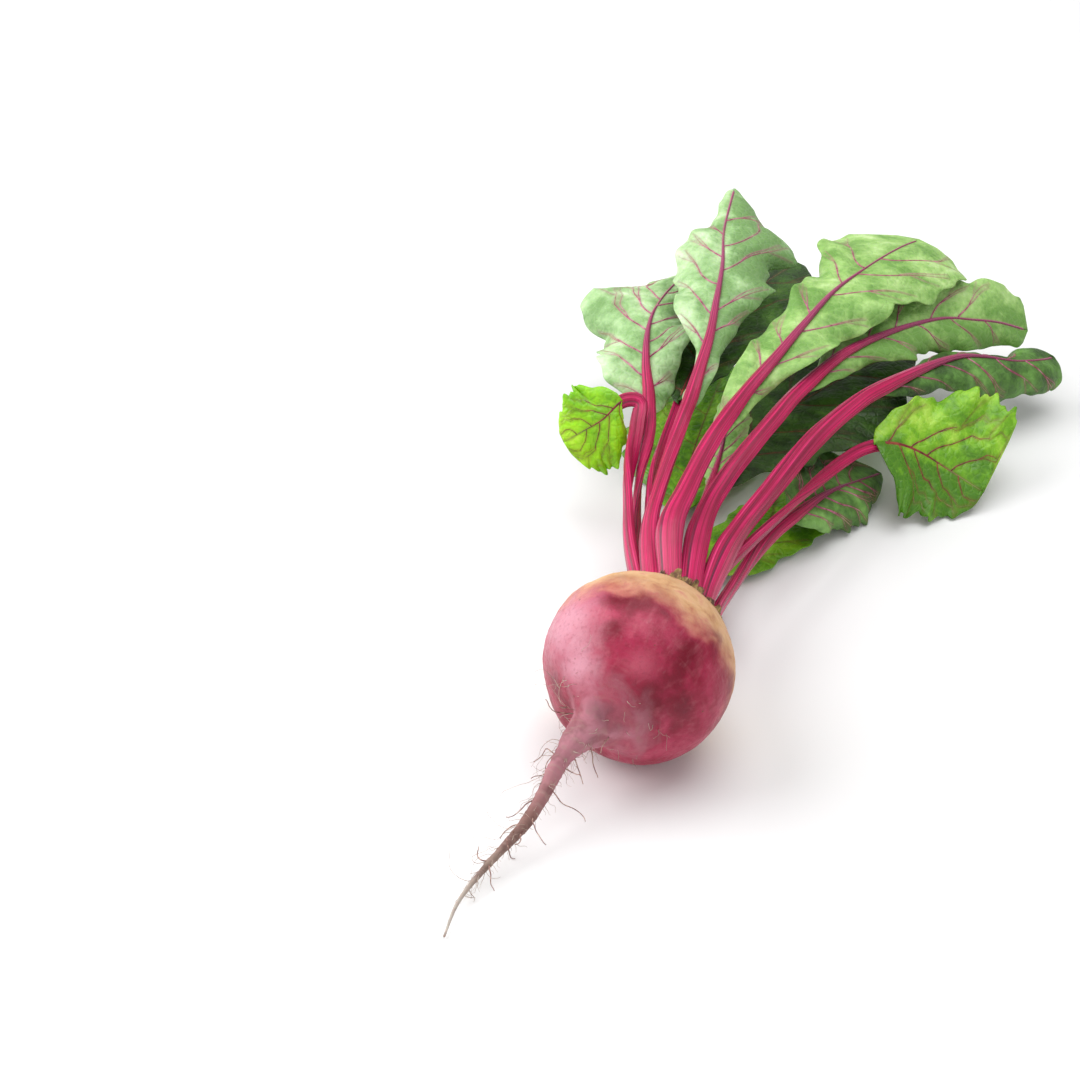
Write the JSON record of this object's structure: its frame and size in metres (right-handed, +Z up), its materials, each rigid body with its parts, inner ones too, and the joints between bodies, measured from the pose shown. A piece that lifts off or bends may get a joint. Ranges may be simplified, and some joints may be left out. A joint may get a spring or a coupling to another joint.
{
  "type": "beetroot",
  "caption": "Freshly pulled beetroot lying on its side: round root with a long tail and side rootlets, rough crown, and magenta-stalked waved leaves.",
  "frame": {"origin": "centre of the small flat spot under the root, where the beetroot rests", "axes": "+Y along the root from its tail to its leaves, +Z up from the surface it rests on, +X to the right when seen from the tail"},
  "size_m": [0.1992, 0.4281, 0.0788],
  "materials": {
    "root_skin": "satin, finely wrinkled plant skin",
    "leaf_stalk": "smooth, softly ribbed, slightly glossy",
    "leaf_blade": "soft satin leaf with red veins"
  },
  "bodies": {
    "root": {"root": "root_skin", "left_small_leaf_stalk": "leaf_stalk", "left_small_leaf_blade": "leaf_blade", "left_curled_leaf_stalk": "leaf_stalk", "left_curled_leaf_blade": "leaf_blade", "top_left_leaf_stalk": "leaf_stalk", "top_left_leaf_blade": "leaf_blade", "top_right_leaf_stalk": "leaf_stalk", "top_right_leaf_blade": "leaf_blade", "right_leaf_stalk": "leaf_stalk", "right_leaf_blade": "leaf_blade", "right_rolled_leaf_stalk": "leaf_stalk", "right_rolled_leaf_blade": "leaf_blade", "right_open_leaf_stalk": "leaf_stalk", "right_open_leaf_blade": "leaf_blade", "right_low_leaf_stalk": "leaf_stalk", "right_low_leaf_blade": "leaf_blade", "floor_middle_leaf_stalk": "leaf_stalk", "floor_middle_leaf_blade": "leaf_blade", "floor_left_leaf_stalk": "leaf_stalk", "floor_left_leaf_blade": "leaf_blade", "inner_left_leaf_stalk": "leaf_stalk", "inner_left_leaf_blade": "leaf_blade", "inner_right_leaf_stalk": "leaf_stalk", "inner_right_leaf_blade": "leaf_blade", "heart_leaf_stalk": "leaf_stalk", "heart_leaf_blade": "leaf_blade"}
  },
  "joints": []
}
